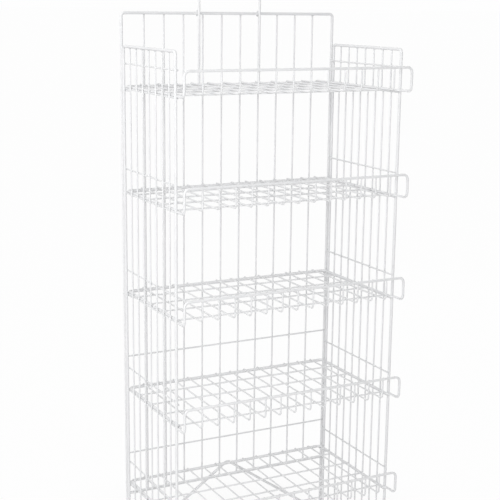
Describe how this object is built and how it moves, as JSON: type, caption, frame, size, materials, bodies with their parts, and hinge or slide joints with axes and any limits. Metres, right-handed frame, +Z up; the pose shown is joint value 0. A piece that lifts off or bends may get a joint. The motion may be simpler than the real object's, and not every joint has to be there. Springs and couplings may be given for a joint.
{
  "type": "wire basket display rack",
  "caption": "Free-standing wire display rack: a grid back and hinged grid sides carry a stack of lipped wire baskets, with a wire sign holder hooked over the top.",
  "frame": {"origin": "on the floor, under the middle of the rack's outer box", "axes": "+X to the right as a customer faces the rack, +Y towards the back panel, +Z up"},
  "size_m": [0.592, 0.3752, 1.631],
  "materials": {
    "white_wire": "white powder coat on steel wire",
    "foot_plastic": "light grey moulded plastic"
  },
  "bodies": {
    "back_panel": {"back_frame": "white_wire", "back_bottom_bar": "white_wire", "back_uprights": "white_wire", "back_rails": "white_wire", "back_ledges": "white_wire", "back_brace": "white_wire", "back_foot_caps": "foot_plastic"},
    "left_panel": {"left_frame": "white_wire", "left_uprights": "white_wire", "left_rails": "white_wire", "left_ledges": "white_wire", "left_hooks": "white_wire", "left_glides": "foot_plastic"},
    "right_panel": {"right_frame": "white_wire", "right_uprights": "white_wire", "right_rails": "white_wire", "right_ledges": "white_wire", "right_hooks": "white_wire", "right_glides": "foot_plastic"},
    "shelf_1": {"shelf_1_rim": "white_wire", "shelf_1_lip": "white_wire", "shelf_1_long_wires": "white_wire", "shelf_1_cross_wires": "white_wire", "shelf_1_lip_bars": "white_wire"},
    "shelf_2": {"shelf_2_rim": "white_wire", "shelf_2_lip": "white_wire", "shelf_2_long_wires": "white_wire", "shelf_2_cross_wires": "white_wire", "shelf_2_lip_bars": "white_wire"},
    "shelf_3": {"shelf_3_rim": "white_wire", "shelf_3_lip": "white_wire", "shelf_3_long_wires": "white_wire", "shelf_3_cross_wires": "white_wire", "shelf_3_lip_bars": "white_wire"},
    "shelf_4": {"shelf_4_rim": "white_wire", "shelf_4_lip": "white_wire", "shelf_4_long_wires": "white_wire", "shelf_4_cross_wires": "white_wire", "shelf_4_lip_bars": "white_wire"},
    "shelf_5": {"shelf_5_rim": "white_wire", "shelf_5_lip": "white_wire", "shelf_5_long_wires": "white_wire", "shelf_5_cross_wires": "white_wire", "shelf_5_lip_bars": "white_wire"},
    "sign_holder": {"sign_frame": "white_wire", "sign_hooks": "white_wire"}
  },
  "joints": [
    {"name": "left_panel_hinge", "type": "hinge", "parent": "back_panel", "child": "left_panel", "pos_m": [-0.287, 0.1774, 0.6685], "axis": [0, 0, -1], "range_deg": [0, 120]},
    {"name": "right_panel_hinge", "type": "hinge", "parent": "back_panel", "child": "right_panel", "pos_m": [0.287, 0.1774, 0.6685], "axis": [0, 0, 1], "range_deg": [0, 120]},
    {"name": "shelf_1_slide", "type": "slide", "parent": "back_panel", "child": "shelf_1", "axis": [0, -1, 0], "range_m": [0, 0.38]},
    {"name": "shelf_2_slide", "type": "slide", "parent": "back_panel", "child": "shelf_2", "axis": [0, -1, 0], "range_m": [0, 0.38]},
    {"name": "shelf_3_slide", "type": "slide", "parent": "back_panel", "child": "shelf_3", "axis": [0, -1, 0], "range_m": [0, 0.38]},
    {"name": "shelf_4_slide", "type": "slide", "parent": "back_panel", "child": "shelf_4", "axis": [0, -1, 0], "range_m": [0, 0.38]},
    {"name": "shelf_5_slide", "type": "slide", "parent": "back_panel", "child": "shelf_5", "axis": [0, -1, 0], "range_m": [0, 0.38]},
    {"name": "sign_holder_lift", "type": "slide", "parent": "back_panel", "child": "sign_holder", "axis": [0, 0, 1], "range_m": [0, 0.2]}
  ]
}
